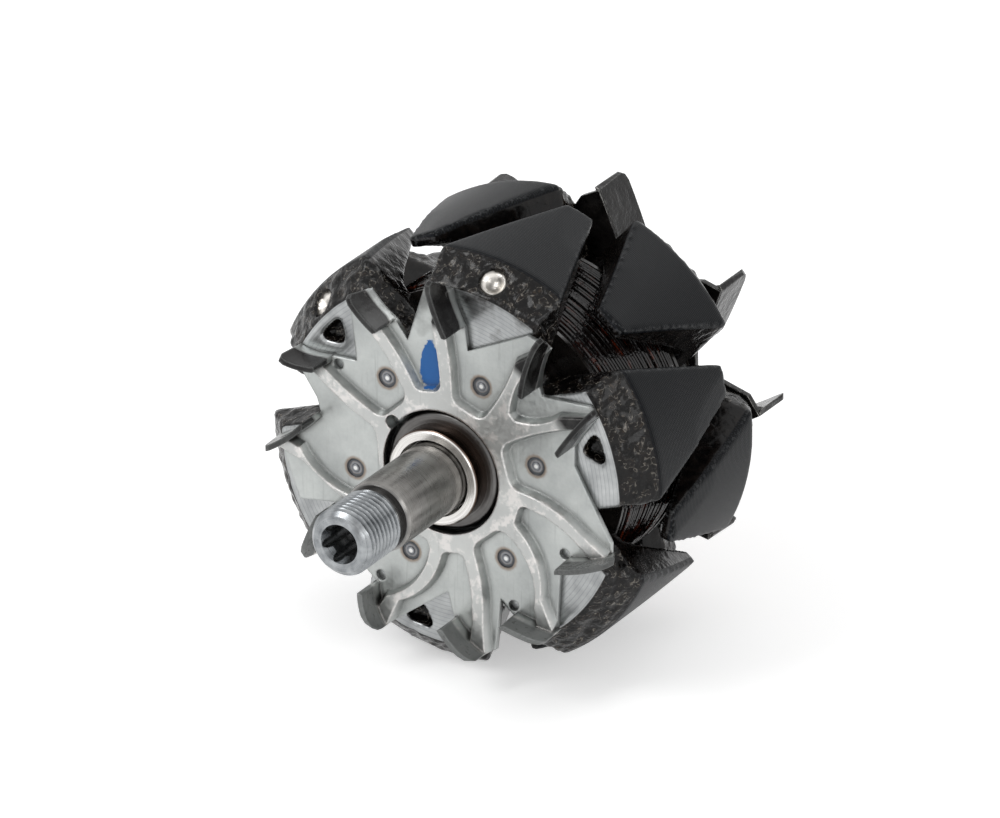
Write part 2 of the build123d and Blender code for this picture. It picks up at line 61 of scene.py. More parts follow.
# threaded end and its six-lobed socket
TIP_Y = -33.4
THREAD_R = 8.0
THREAD_CHAMFER = 1.3
THREAD_PITCH = 1.5
THREAD_DEPTH = 0.92
THREAD_CREST = 0.14  # half widths of crest and of crest with flanks, as shares of half a pitch
THREAD_ROOT = 0.76
THREAD_END_Y = -19.7
RUNOUT_LEN = 0.9
UNDERCUT_R = 6.9
SOCKET_R = 3.55
SOCKET_LOBE_R = 1.1
SOCKET_MOUTH_R = 4.75
SOCKET_MOUTH_LEN = 2.4
SOCKET_DEPTH = 9.0
SOCKET_TURN = 15.0
DRILL_R = 2.95
DRILL_DEPTH = 10.5
DRILL_TIP = 2.0

# shaft, spacer rings and the grooves for the slip rings' bars
JOURNAL_Y = -17.1
SEAT_R = 8.5
BODY_R = 9.5
STUB_R = 3.8
RELIEF_DEEP = 0.3
RING_FACE_Y = 7.0
RING_SIDE_R = 11.35
FRONT_BOSS_Y = 11.8
REAR_BOSS_Y = 74.2
REAR_RING_Y = 79.0
REAR_SEAT_END_Y = 91.0
SHAFT_END_Y = 114.9
GROOVE_ANGLES = (138.7, 258.7)
GROOVE_FLOOR_R = 4.2
GROOVE_HALF = 1.8

# poles
POLE_FACE_Y = 14.4
ROTOR_MID_Y = 43.0
REAR_FACE_Y = 2 * ROTOR_MID_Y - POLE_FACE_Y
FACE_R = 44.1
POLE_R = 51.0
SHOULDER_LEN = 7.5
DARKENED_FACE_R = 14.2
DRILLING_R = 47.4
DRILLING_Y = 3.7
DRILLING_MOUTH_R = 3.25
DRILLING_ANGLES = {"front": (60 + 18.7, 120 + 18.7), "rear": ()}

# front fan: ribs, welds and the dab of paint
FAN_PAD_Y = 13.0
RIB_CREST_Y = 10.0
RIB_FOOT_Y = 11.9
WELD_R = 24.4
WELD_ANGLES = (14.6, 67.5, 128.8, 192.6, 247.7, 310.3)
WELD_POINT_R = 0.5
WELD_MIDDLE_R = 1.7
WELD_RING_R = 2.55
WELD_HALO_R = 3.1
DAB_X = -3.9
DAB_Z = 25.0
DAB_HALF_LEN = 5.9
DAB_HALF_WIDTH = 2.1
DAB_FOOT_HALF_WIDTH = 3.1

# winding and the sleeves on its ends
COIL_IN_R = 28.6
COIL_OUT_R = 39.2
COIL_START_Y = 28.8
COIL_END_Y = 57.2
WIRE_R = 0.5
STRAND = 0.5

FAR = 80.0  # past the whole rotor: the open end of a band

# how finely the meshes are made
MERGE_DIST = 0.002
SHARP_ANGLE = 33
POLE_CELL = 0.7
RELAX_STEPS = 6
WRINKLE_WAVES = 14
WRINKLE_LENGTHS = (2.4, 6.0)
WRINKLE_ALL_OVER = 0.12
WRINKLE_SHOULDER = 0.75

# camera fitted to the photograph, in degrees, metres and the photograph's pixels
CAMERA_AZIMUTH = 30.429
CAMERA_ELEVATION = 24.514
CAMERA_DISTANCE = 2.3942
CAMERA_ACROSS = 0.012276
CAMERA_ABOVE = 0.013547
FOCAL_PX = 10602
FRAME_WIDTH_PX = 1000
SENSOR_MM = 36.0

# stage, in metres and strengths
FLOOR_GAP = 0.0006
FLOOR_HALF = 6.0
FLOOR_GLOW = 0.45
WORLD_SEEN = 1.0
WORLD_LIGHT = 0.55
LIGHT_SIZE = 0.5
LIGHT_TARGET = (0, 0.03, 0)


# colours and nodes

def srgb(text):
    """sRGB hex value to linear RGBA."""
    parts = [int(text[i:i + 2], 16) / 255 for i in (1, 3, 5)]
    linear = [c / 12.92 if c <= 0.04045 else ((c + 0.055) / 1.055) ** 2.4 for c in parts]
    return (*linear, 1.0)


def add(nt, kind, sockets=(), out=0, **settings):
    """Adds one node: sockets by order or by name, then its settings; gives back one of its outputs."""
    node = nt.nodes.new("ShaderNode" + kind)
    for key, value in settings.items():
        setattr(node, key, value)
    for key, value in sockets.items() if isinstance(sockets, dict) else enumerate(sockets):
        if isinstance(value, bpy.types.NodeSocket):
            nt.links.new(value, node.inputs[key])
        else:
            node.inputs[key].default_value = value
    return node.outputs[out] if node.outputs else None


def blank(name):
    """New material without nodes, and its node tree."""
    material = bpy.data.materials.new(name)
    material.use_nodes = True
    material.node_tree.nodes.clear()
    return material, material.node_tree


def band(nt, value, low, high, soft):
    """1 where value lies between low and high, with soft edges, all in the value's unit."""
    rise = (value, low - soft, low + soft, 0.0, 1.0)
    fall = (value, high - soft, high + soft, 1.0, 0.0)
    up = add(nt, "MapRange", rise, interpolation_type="SMOOTHSTEP")
    down = add(nt, "MapRange", fall, interpolation_type="SMOOTHSTEP")
    return add(nt, "Math", (up, down), operation="MULTIPLY")


def round_shaft(nt):
    """Object coordinates in m, the same in mm without their part along the shaft, the radius and the
    station along the shaft in mm, and the angle in turns."""
    place = add(nt, "TexCoord", out="Object")
    flat = add(nt, "VectorMath", (place, (1000.0, 0.0, 1000.0)), operation="MULTIPLY")
    r = add(nt, "VectorMath", (flat,), out="Value", operation="LENGTH")
    x = add(nt, "SeparateXYZ", (flat,), out="X")
    z = add(nt, "SeparateXYZ", (flat,), out="Z")
    y = add(nt, "SeparateXYZ", (place,), out="Y")
    station = add(nt, "Math", (y, 1000.0), operation="MULTIPLY")
    angle = add(nt, "Math", (z, x), operation="ARCTAN2")
    turn = add(nt, "Math", (angle, 2 * math.pi), operation="DIVIDE")
    return place, flat, r, station, turn


def turning_marks(nt, r, station, turn, width, detail=3.0):
    """Fine rings left by a tool: noise that changes over a width in mm along the shaft, hardly round it."""
    around = add(nt, "CombineXYZ", (r, station, turn))
    return add(nt, "TexNoise", {"Vector": around, "Scale": 1 / width, "Detail": detail, "Roughness": 0.7})


def seen_directly(nt):
    """1 for what the camera sees, straight, mirrored or through something clear, 0 for diffuse light."""
    seen = add(nt, "LightPath", out="Is Camera Ray")
    mirrored = add(nt, "LightPath", out="Is Glossy Ray")
    through = add(nt, "LightPath", out="Is Transmission Ray")
    direct = add(nt, "Math", (seen, mirrored), operation="MAXIMUM")
    return add(nt, "Math", (direct, through), operation="MAXIMUM")


def rounded_edges(nt, width, least=0.97, most=0.80):
    """Normal rounded over a width in mm, and 1 on edges and corners, where it leaves the face's own."""
    own = add(nt, "NewGeometry", out="Normal")
    rounded = add(nt, "Bevel", {"Radius": width * MM}, samples=6)
    same = add(nt, "VectorMath", (own, rounded), out="Value", operation="DOT_PRODUCT")
    edge = add(nt, "MapRange", (same, least, most, 0.0, 1.0))
    return rounded, edge


# materials

def ground_steel():
    """Shaft: medium carbon steel, turned and ground, slightly oily: satin grey with fine bright and dark
    rings, and smears and spots of oil."""
    material, nt = blank("ground_shaft_steel")
    place, _, r, station, turn = round_shaft(nt)
    # grinding marks, coarser than the real ones so that they show
    marks = turning_marks(nt, r, station, turn, 0.3)
    smears = add(nt, "Mapping", {"Vector": place, "Scale": (1.0, 0.25, 1.0)})
    streaks = add(nt, "TexNoise", {"Vector": smears, "Scale": 1000 / 3.0, "Detail": 3.0})
    stains = add(nt, "TexNoise", {"Vector": place, "Scale": 1000 / 6.0, "Detail": 4.0, "Roughness": 0.6})
    shade = add(nt, "Math", (marks, 0.3, streaks), operation="MULTIPLY_ADD")
    shade = add(nt, "MapRange", (shade, 0.45, 0.85, 0.0, 1.0))
    colour = add(nt, "Mix", {0: shade, 6: srgb("#74726F"), 7: srgb("#9A9895")}, 2, data_type="RGBA")
    # the thread was rolled and is cooler and lighter than the ground journal
    rolled = add(nt, "MapRange", (station, THREAD_END_Y + 0.6, THREAD_END_Y + 0.2, 0.0, 1.0))
    cool = add(nt, "Mix", {0: shade, 6: srgb("#74777A"), 7: srgb("#A9ACAE")}, 2, data_type="RGBA")
    colour = add(nt, "Mix", {0: rolled, 6: colour, 7: cool}, 2, data_type="RGBA")
    spots = add(nt, "MapRange", (stains, 0.58, 0.74, 0.0, 0.16))
    colour = add(nt, "Mix", {0: spots, 6: colour, 7: srgb("#5A5047")}, 2, data_type="RGBA")
    # the undercut is darker; in the socket painted shade deepens towards its floor
    dark = band(nt, station, THREAD_END_Y + 0.7, JOURNAL_Y + 0.3, 0.3)
    colour = add(nt, "Mix", {0: dark, 6: colour, 7: srgb("#6B6A69")}, 2, data_type="RGBA")
    inside = add(nt, "MapRange", (r, SOCKET_MOUTH_R + 0.15, SOCKET_MOUTH_R - 0.35, 0.0, 1.0))
    deep = add(nt, "MapRange", (station, TIP_Y + 2.0, TIP_Y + 8.0, 0.0, 0.5))
    socket_shade = add(nt, "Math", (inside, deep), operation="MULTIPLY")
    before = add(nt, "MapRange", (station, JOURNAL_Y + 2.1, JOURNAL_Y + 3.1, 1.0, 0.0))
    socket_shade = add(nt, "Math", (socket_shade, before), operation="MULTIPLY")
    colour = add(nt, "Mix", {0: socket_shade, 6: colour, 7: srgb("#55504B")}, 2, data_type="RGBA")
    rough = add(nt, "MapRange", (marks, 0.3, 0.7, 0.24, 0.34))
    relief = add(nt, "Bump", {"Height": marks, "Strength": 0.2, "Distance": 0.02 * MM})
    shader = add(nt, "BsdfPrincipled", {"Base Color": colour, "Metallic": 1.0, "Roughness": rough,
                                        "Normal": relief})
    add(nt, "OutputMaterial", (shader,))
    return material


def drilling_mouth(angle, face_y, side):
    """Middle of a balance drilling's mouth on the shoulder, in mm."""
    a = math.radians(angle)
    return np.array([DRILLING_R * math.cos(a), face_y + side * DRILLING_Y, DRILLING_R * math.sin(a)])


def turned_hatch(nt, station, turn):
    """Hatch of the claws' outside as a height, and its colour: charcoal, darker along the marks."""
    # turning marks of 0.3 mm feed, drawn at 0.6 mm so that they show, and chatter marks 0.36 mm apart
    feed = add(nt, "Math", (station, 1 / 0.6), operation="MULTIPLY")
    feed = add(nt, "Math", (feed, 0.5), operation="PINGPONG")
    chatter = add(nt, "Math", (turn, 900.0), operation="MULTIPLY")
    chatter = add(nt, "Math", (chatter, 0.5), operation="PINGPONG")
    hatch = add(nt, "Math", (feed, chatter), operation="MULTIPLY")
    hatch_tone = add(nt, "MapRange", (hatch, 0.0, 0.22, 0.0, 1.0))
    charcoal = add(nt, "Mix", {0: hatch_tone, 6: srgb("#030404"), 7: srgb("#1C1F25")}, 2, data_type="RGBA")
    return hatch, charcoal


def turned_face(nt, place, flat, r):
    """Turning rings of the bare face as a height, and its colour: pale grey iron, darker round the shaft."""
    # 0.3 mm feed, drawn at 1 mm so that it shows
    rings = add(nt, "Math", (r, 0.5), operation="PINGPONG")
    line = add(nt, "MapRange", (rings, 0.0, 0.14, 0.5, 0.0))
    mottle = add(nt, "TexNoise", {"Vector": place, "Scale": 1000 / 7.0, "Detail": 5.0, "Roughness": 0.6})
    iron = add(nt, "MapRange", (mottle, 0.3, 0.7, 0.0, 1.0))
    iron = add(nt, "Mix", {0: iron, 6: srgb("#8B8D8E"), 7: srgb("#B9BBBB")}, 2, data_type="RGBA")
    iron = add(nt, "Mix", {0: line, 6: iron, 7: srgb("#6F7376")}, 2, data_type="RGBA")
    # darker in a band round the spacer ring
    darker_round_ring = add(nt, "MapRange", (r, DARKENED_FACE_R + 0.5, DARKENED_FACE_R, 0.0, 0.75))
    iron = add(nt, "Mix", {0: darker_round_ring, 6: iron, 7: srgb("#3E3834")}, 2, data_type="RGBA")
    # varnish spray drifted over the rim on the upper side, its border 24 to 48 mm above the shaft
    height = add(nt, "SeparateXYZ", (flat,), out="Z")
    drift = add(nt, "Math", (mottle, 60.0, height), operation="MULTIPLY_ADD")
    drift = add(nt, "MapRange", (drift, 66.0, 78.0, 0.0, 0.85))
    iron = add(nt, "Mix", {0: drift, 6: iron, 7: srgb("#24211F")}, 2, data_type="RGBA")
    return rings, iron


def balance_drilling(nt, place, angle, face_y, side):
    """1 inside a balance drilling, in a ball round its mouth and below it, the drill's rings as a height,
    and their colour: bright metal with dark lines."""
    a = math.radians(angle)
    mouth = tuple(MM * drilling_mouth(angle, face_y, side))
    near = add(nt, "VectorMath", (place, mouth), out="Value", operation="DISTANCE")
    near = add(nt, "Math", (near, 1000.0), operation="MULTIPLY")
    hole = add(nt, "MapRange", (near, DRILLING_MOUTH_R + 0.1, DRILLING_MOUTH_R - 0.1, 0.0, 1.0))
    # the drill went in square to the shoulder
    slope = math.atan2(SHOULDER_LEN, POLE_R - FACE_R)
    axis = (math.sin(slope) * math.cos(a), -side * math.cos(slope), math.sin(slope) * math.sin(a))
    offset = add(nt, "VectorMath", (place, mouth), operation="SUBTRACT")
    above = add(nt, "VectorMath", (offset, axis), out="Value", operation="DOT_PRODUCT")
    above = add(nt, "Math", (above, 1000.0), operation="MULTIPLY")
    cut = add(nt, "MapRange", (above, -0.75, -0.95, 0.0, 1.0))
    hole = add(nt, "Math", (hole, cut), operation="MULTIPLY")
    # rings drawn 0.8 mm apart so that they show
    ripple = add(nt, "Math", (near, 1 / 0.8), operation="MULTIPLY")
    ripple = add(nt, "Math", (ripple, 0.5), operation="PINGPONG")
    ripple = add(nt, "MapRange", (ripple, 0.1, 0.4, 0.0, 1.0))
    shine = add(nt, "Mix", {0: ripple, 6: srgb("#4A4743"), 7: srgb("#E6E2DC")}, 2, data_type="RGBA")
    return hole, ripple, shine


def varnished_iron(name, face_y, side, drillings):
    """Pole: forged low carbon iron under black impregnating varnish, glossy and wrinkled where it is as
    forged; the claws' outside is turned, charcoal with a fine hatch, and the face is left bare and pale.
    face_y is the station of the face, side the way from it into the iron, drillings the angles of the
    balance drillings."""
    material, nt = blank(name)
    place, flat, r, station, turn = round_shaft(nt)
    depth = add(nt, "Math", (station, face_y), operation="SUBTRACT")
    depth = add(nt, "Math", (depth, side), operation="MULTIPLY")
    rim = band(nt, r, POLE_R - 1.3, FAR, 0.1)
    outside = add(nt, "Math", (rim, band(nt, depth, SHOULDER_LEN - 0.2, FAR, 0.2)), operation="MULTIPLY")
    face = band(nt, depth, -9.0, 0.3, 0.1)
    bare = add(nt, "Math", (face, band(nt, r, 0.0, FACE_R + 0.25, 0.15)), operation="MULTIPLY")
    # varnish: runs and wrinkles about 2 mm across over forging scale of under a millimetre
    runs = add(nt, "TexNoise", {"Vector": place, "Scale": 1000 / 2.2, "Detail": 1.5, "Roughness": 0.5,
                                "Distortion": 0.5})
    scale = add(nt, "TexNoise", {"Vector": place, "Scale": 1000 / 0.9, "Detail": 3.0, "Roughness": 0.6})
    edge = add(nt, "NewGeometry", out="Pointiness")
    edge = add(nt, "MapRange", (edge, 0.515, 0.56, 0.0, 1.0))
    tint = add(nt, "MapRange", (runs, 0.42, 0.62, 0.0, 1.0))
    varnish = add(nt, "Mix", {0: tint, 6: srgb("#070606"), 7: srgb("#15110F")}, 2, data_type="RGBA")
    # painted highlights: brown flecks on the shoulder stand for glints off its glossy wrinkles
    painted_glint_flecks = add(nt, "Math", (runs, 0.5, scale), operation="MULTIPLY_ADD")
    painted_glint_flecks = add(nt, "MapRange", (painted_glint_flecks, 0.86, 1.0, 0.0, 0.3))
    shoulder = band(nt, depth, 0.2, SHOULDER_LEN, 0.4)
    painted_glint_flecks = add(nt, "Math", (painted_glint_flecks, shoulder), operation="MULTIPLY")
    glint = add(nt, "Mix", {0: painted_glint_flecks, 6: varnish, 7: srgb("#5A4C3C")}, 2, data_type="RGBA")
    # and the crests of its wrinkles are thin crooked lines of light
    crest = add(nt, "Math", (band(nt, runs, 0.55, 0.58, 0.02), shoulder), operation="MULTIPLY")
    broken = add(nt, "MapRange", (scale, 0.44, 0.6, 0.0, 0.6))
    crest = add(nt, "Math", (crest, broken), operation="MULTIPLY")
    glint = add(nt, "Mix", {0: crest, 6: glint, 7: srgb("#9C968D")}, 2, data_type="RGBA")
    hatch, charcoal = turned_hatch(nt, station, turn)
    colour = add(nt, "Mix", {0: outside, 6: glint, 7: charcoal}, 2, data_type="RGBA")
    rings, iron = turned_face(nt, place, flat, r)
    colour = add(nt, "Mix", {0: bare, 6: colour, 7: iron}, 2, data_type="RGBA")
    metal = bare
    grooves = []
    for angle in drillings:
        hole, ripple, shine = balance_drilling(nt, place, angle, face_y, side)
        colour = add(nt, "Mix", {0: hole, 6: colour, 7: shine}, 2, data_type="RGBA")
        metal = add(nt, "Math", (metal, hole), operation="MAXIMUM")
        grooves.append(add(nt, "Math", (ripple, hole), operation="MULTIPLY"))
    # edges worn through in places, and painted highlights: pale grey where the surface is sharply convex
    patches = add(nt, "MapRange", (scale, 0.5, 0.6, 0.0, 0.8))
    wear_and_edge_sheen = add(nt, "Math", (edge, patches), operation="MULTIPLY")
    colour = add(nt, "Mix", {0: wear_and_edge_sheen, 6: colour, 7: srgb("#58595A")}, 2, data_type="RGBA")
    rough = add(nt, "Mix", {0: outside, 2: 0.2, 3: 0.36}, 0, data_type="FLOAT")
    rough = add(nt, "Mix", {0: metal, 2: rough, 3: 0.32}, 0, data_type="FLOAT")
    plain_parts = add(nt, "Math", (outside, metal), operation="MAXIMUM")
    varnished = add(nt, "Math", (1.0, plain_parts), operation="SUBTRACT")
    wrinkled = add(nt, "MapRange", (shoulder, 0.0, 1.0, 0.3, 1.0))
    wrinkled = add(nt, "Math", (wrinkled, varnished), operation="MULTIPLY")
    relief = add(nt, "Bump", {"Height": runs, "Strength": wrinkled, "Distance": 0.9 * MM})
    for wave, where, share, deep in ((scale, wrinkled, 0.5, 0.2), (hatch, outside, 0.9, 0.2),
                                     (rings, bare, 0.35, 0.08)):
        share = add(nt, "Math", (where, share), operation="MULTIPLY")
        relief = add(nt, "Bump", {"Height": wave, "Strength": share, "Distance": deep * MM,
                                  "Normal": relief})
    for groove in grooves:
        relief = add(nt, "Bump", {"Height": groove, "Strength": 0.7, "Distance": 0.3 * MM,
                                  "Normal": relief})
    coat = add(nt, "Math", (varnished, 0.3), operation="MULTIPLY")
    shader = add(nt, "BsdfPrincipled", {"Base Color": colour, "Metallic": metal, "Roughness": rough,
                                        "Normal": relief, "Specular IOR Level": 0.1, "Coat Weight": coat,
                                        "Coat Roughness": 0.14})
    add(nt, "OutputMaterial", (shader,))
    return material


def weld_marks(nt, flat, grain, colour):
    """Colour with the spot welds over it, by the distance to the nearest one: a brown heat halo, a blue-grey
    ring, a lighter middle and a bright point."""
    near = FAR
    for angle in WELD_ANGLES:
        a = math.radians(angle)
        centre = (WELD_R * math.cos(a), 0.0, WELD_R * math.sin(a))
        here = add(nt, "VectorMath", (flat, centre), out="Value", operation="DISTANCE")
        near = add(nt, "Math", (here, near), operation="MINIMUM")
    wobble = add(nt, "Math", (grain, 0.5, near), operation="MULTIPLY_ADD")
    halo = add(nt, "Math", (band(nt, wobble, -1.0, WELD_HALO_R, 0.4), 0.7), operation="MULTIPLY")
    colour = add(nt, "Mix", {0: halo, 6: colour, 7: srgb("#7A6450")}, 2, data_type="RGBA")
    ring = band(nt, wobble, WELD_MIDDLE_R + 0.05, WELD_RING_R, 0.2)
    colour = add(nt, "Mix", {0: ring, 6: colour, 7: srgb("#55585C")}, 2, data_type="RGBA")
    middle = band(nt, wobble, -1.0, WELD_MIDDLE_R, 0.2)
    colour = add(nt, "Mix", {0: middle, 6: colour, 7: srgb("#84868A")}, 2, data_type="RGBA")
    point = band(nt, near, -1.0, WELD_POINT_R, 0.15)
    return add(nt, "Mix", {0: point, 6: colour, 7: srgb("#D8D8D6")}, 2, data_type="RGBA")


def paint_dab(nt, place, flat, station):
    """1 on the dab of marking paint: an upright oval, ragged, wider at its foot, where it breaks up."""
    x = add(nt, "SeparateXYZ", (flat,), out="X")
    z = add(nt, "SeparateXYZ", (flat,), out="Z")
    ragged = add(nt, "TexNoise", {"Vector": place, "Scale": 1000 / 1.6, "Detail": 4.0, "Roughness": 0.7})
    shake = add(nt, "MapRange", (ragged, 0.3, 0.7, -1.0, 1.0))
    across = add(nt, "Math", (x, DAB_X), operation="SUBTRACT")
    half = add(nt, "MapRange", (z, DAB_Z + 5.0, DAB_Z - 5.0, DAB_HALF_WIDTH, DAB_FOOT_HALF_WIDTH))
    across = add(nt, "Math", (across, half), operation="DIVIDE")
    along = add(nt, "Math", (z, DAB_Z), operation="SUBTRACT")
    along = add(nt, "Math", (along, DAB_HALF_LEN), operation="DIVIDE")
    oval = add(nt, "CombineXYZ", (across, along, 0.0))
    oval = add(nt, "VectorMath", (oval,), out="Value", operation="LENGTH")
    oval = add(nt, "Math", (shake, 0.12, oval), operation="MULTIPLY_ADD")
    dab = add(nt, "MapRange", (oval, 1.03, 0.97, 0.0, 1.0))
    on_face = band(nt, station, FAN_PAD_Y - 1.4, FAN_PAD_Y + 0.6, 0.2)
    low_end = add(nt, "MapRange", (z, DAB_Z - 1.0, DAB_Z - 6.0, 0.0, 0.42))
    specks = add(nt, "Math", (ragged, low_end), operation="ADD")
    specks = add(nt, "MapRange", (specks, 0.93, 0.98, 1.0, 0.0))
    dab = add(nt, "Math", (dab, on_face), operation="MULTIPLY")
    return add(nt, "Math", (dab, specks), operation="MULTIPLY")


def pressed_sheet():
    """Front fan: bare low carbon steel sheet, cold pressed: satin pale grey, blades darkened by varnish
    spray and by painted shade, welds with blue-grey rings in a brown heat halo, and a dab of blue marking
    paint."""
    material, nt = blank("pressed_steel_sheet")
    place, flat, r, station, _ = round_shaft(nt)
    cloud = add(nt, "TexNoise", {"Vector": place, "Scale": 1000 / 16.0, "Detail": 5.0, "Roughness": 0.6})
    grain = add(nt, "TexNoise", {"Vector": place, "Scale": 1000 / 1.1, "Detail": 3.0, "Roughness": 0.6})
    rounded, edge = rounded_edges(nt, 0.7, 0.985, 0.86)
    tone = add(nt, "Math", (grain, 0.35, cloud), operation="MULTIPLY_ADD")
    tone = add(nt, "MapRange", (tone, 0.5, 0.85, 0.0, 1.0))
    colour = add(nt, "Mix", {0: tone, 6: srgb("#A0A3A2"), 7: srgb("#BABDBB")}, 2, data_type="RGBA")
    # handling scratches: streaks under a millimetre wide and twenty times as long
    slant = add(nt, "Mapping", {"Vector": place, "Rotation": (0.0, 0.5, 0.0), "Scale": (1.0, 1.0, 0.05)})
    scratch = add(nt, "TexNoise", {"Vector": slant, "Scale": 1000 / 0.8, "Detail": 2.0})
    scratch = add(nt, "MapRange", (scratch, 0.62, 0.74, 0.0, 0.4))
    colour = add(nt, "Mix", {0: scratch, 6: colour, 7: srgb("#888A89")}, 2, data_type="RGBA")
    # drawn crests of the ribs are rubbed bright by the tool
    crest = band(nt, station, RIB_CREST_Y, RIB_FOOT_Y, 0.5)
    polish = add(nt, "Math", (crest, 0.35), operation="MULTIPLY")
    colour = add(nt, "Mix", {0: polish, 6: colour, 7: srgb("#C6C5C3")}, 2, data_type="RGBA")
    blotch = add(nt, "TexNoise", {"Vector": place, "Scale": 1000 / 4.0, "Detail": 6.0, "Roughness": 0.65})
    blotch = add(nt, "MapRange", (blotch, 0.52, 0.6, 0.0, 0.55))
    drawn = band(nt, station, RIB_CREST_Y, RIB_FOOT_Y - 0.5, 0.3)
    blotch = add(nt, "Math", (blotch, drawn), operation="MULTIPLY")
    colour = add(nt, "Mix", {0: blotch, 6: colour, 7: srgb("#E3DEDB")}, 2, data_type="RGBA")
    # painted highlights: near white along the crests' edges, with the tool's rubbing
    rub_and_edge_sheen = add(nt, "MapRange", (grain, 0.4, 0.56, 0.1, 1.0))
    rub_and_edge_sheen = add(nt, "Math", (rub_and_edge_sheen, edge), operation="MULTIPLY")
    rub_and_edge_sheen = add(nt, "Math", (rub_and_edge_sheen, crest), operation="MULTIPLY")
    colour = add(nt, "Mix", {0: rub_and_edge_sheen, 6: colour, 7: srgb("#E9E5E2")}, 2, data_type="RGBA")
    # blades: varnish mist in patches, and painted shade and dark reflection, heavier on the upper blades
    height = add(nt, "SeparateXYZ", (flat,), out="Z")
    upper = add(nt, "MapRange", (height, 8.0, 24.0, 0.0, 1.9))
    outer = add(nt, "MapRange", (r, 34.0, 38.0, 0.0, 1.0))
    upper = add(nt, "Math", (upper, outer), operation="MULTIPLY")
    blade = add(nt, "Math", (station, upper), operation="SUBTRACT")
    blade = add(nt, "MapRange", (blade, 10.5, 9.6, 0.0, 1.0))
    mist_and_shade = add(nt, "TexNoise", {"Vector": place, "Scale": 1000 / 9.0, "Detail": 4.0, "Roughness": 0.65})
    mist_and_shade = add(nt, "MapRange", (mist_and_shade, 0.34, 0.56, 0.92, 1.0))
    mist_and_shade = add(nt, "Math", (mist_and_shade, blade), operation="MULTIPLY")
    facing = add(nt, "MapRange", (height, -30.0, 10.0, 0.6, 1.0))
    mist_and_shade = add(nt, "Math", (mist_and_shade, facing), operation="MULTIPLY")
    drift = add(nt, "Math", (cloud, 60.0, height), operation="MULTIPLY_ADD")
    drift = add(nt, "MapRange", (drift, 68.0, 80.0, 0.0, 0.7))
    mist_and_shade = add(nt, "Math", (mist_and_shade, drift), operation="MAXIMUM")
    # painted highlight: the blades' edges keep less of the darkening
    bare_lit_edge = add(nt, "Math", (edge, 0.22), operation="MULTIPLY")
    kept = add(nt, "Math", (1.0, bare_lit_edge), operation="SUBTRACT")
    mist_and_shade = add(nt, "Math", (mist_and_shade, kept), operation="MULTIPLY")
    colour = add(nt, "Mix", {0: mist_and_shade, 6: colour, 7: srgb("#0D0B0B")}, 2, data_type="RGBA")
    colour = weld_marks(nt, flat, grain, colour)
    dab = paint_dab(nt, place, flat, station)
    colour = add(nt, "Mix", {0: dab, 6: colour, 7: srgb("#2B63A4")}, 2, data_type="RGBA")
    # painted shade: corners darkened where the ambient occlusion is low
    crevice = add(nt, "AmbientOcclusion", {"Distance": 1.6 * MM}, out="AO", samples=6)
    painted_corner_shade = add(nt, "MapRange", (crevice, 0.9, 0.45, 0.0, 0.85))
    colour = add(nt, "Mix", {0: painted_corner_shade, 6: colour, 7: srgb("#2E2A27")}, 2, data_type="RGBA")
    covered = add(nt, "Math", (dab, mist_and_shade), operation="MAXIMUM")
    metal = add(nt, "MapRange", (covered, 0.0, 0.8, 1.0, 0.02))
    rough = add(nt, "MapRange", (grain, 0.3, 0.7, 0.3, 0.46))
    rough = add(nt, "Mix", {0: mist_and_shade, 2: rough, 3: 0.24}, 0, data_type="FLOAT")
    relief = add(nt, "Bump", {"Height": cloud, "Strength": 0.35, "Distance": 0.8 * MM, "Normal": rounded})
    relief = add(nt, "Bump", {"Height": grain, "Strength": 0.25, "Distance": 0.06 * MM, "Normal": relief})
    shader = add(nt, "BsdfPrincipled", {"Base Color": colour, "Metallic": metal, "Roughness": rough,
                                        "Normal": relief, "Specular IOR Level": 0.25})
    add(nt, "OutputMaterial", (shader,))
    return material


def varnished_sheet():
    """Rear fan: the same sheet dipped in black varnish: glossy black, runs, and light edges that stand for
    both wear and painted highlights.
    """
    material, nt = blank("varnished_steel_sheet")
    place = add(nt, "TexCoord", out="Object")
    runs = add(nt, "TexNoise", {"Vector": place, "Scale": 1000 / 5.0, "Detail": 4.0, "Roughness": 0.6})
    grain = add(nt, "TexNoise", {"Vector": place, "Scale": 1000 / 1.0, "Detail": 3.0})
    rounded, edge = rounded_edges(nt, 0.5)
    tone = add(nt, "MapRange", (runs, 0.4, 0.66, 0.0, 1.0))
    colour = add(nt, "Mix", {0: tone, 6: srgb("#080707"), 7: srgb("#1A1817")}, 2, data_type="RGBA")
    # edges worn to bare metal, and painted highlights: pale along the edges in patches
    patches = add(nt, "MapRange", (grain, 0.42, 0.58, 0.25, 0.9))
    wear_and_edge_sheen = add(nt, "Math", (edge, patches), operation="MULTIPLY")
    colour = add(nt, "Mix", {0: wear_and_edge_sheen, 6: colour, 7: srgb("#8C8B88")}, 2, data_type="RGBA")
    relief = add(nt, "Bump", {"Height": runs, "Strength": 0.6, "Distance": 1.0 * MM, "Normal": rounded})
    shader = add(nt, "BsdfPrincipled", {"Base Color": colour, "Metallic": wear_and_edge_sheen, "Roughness": 0.2,
                                        "Normal": relief, "Specular IOR Level": 0.3})
    add(nt, "OutputMaterial", (shader,))
    return material


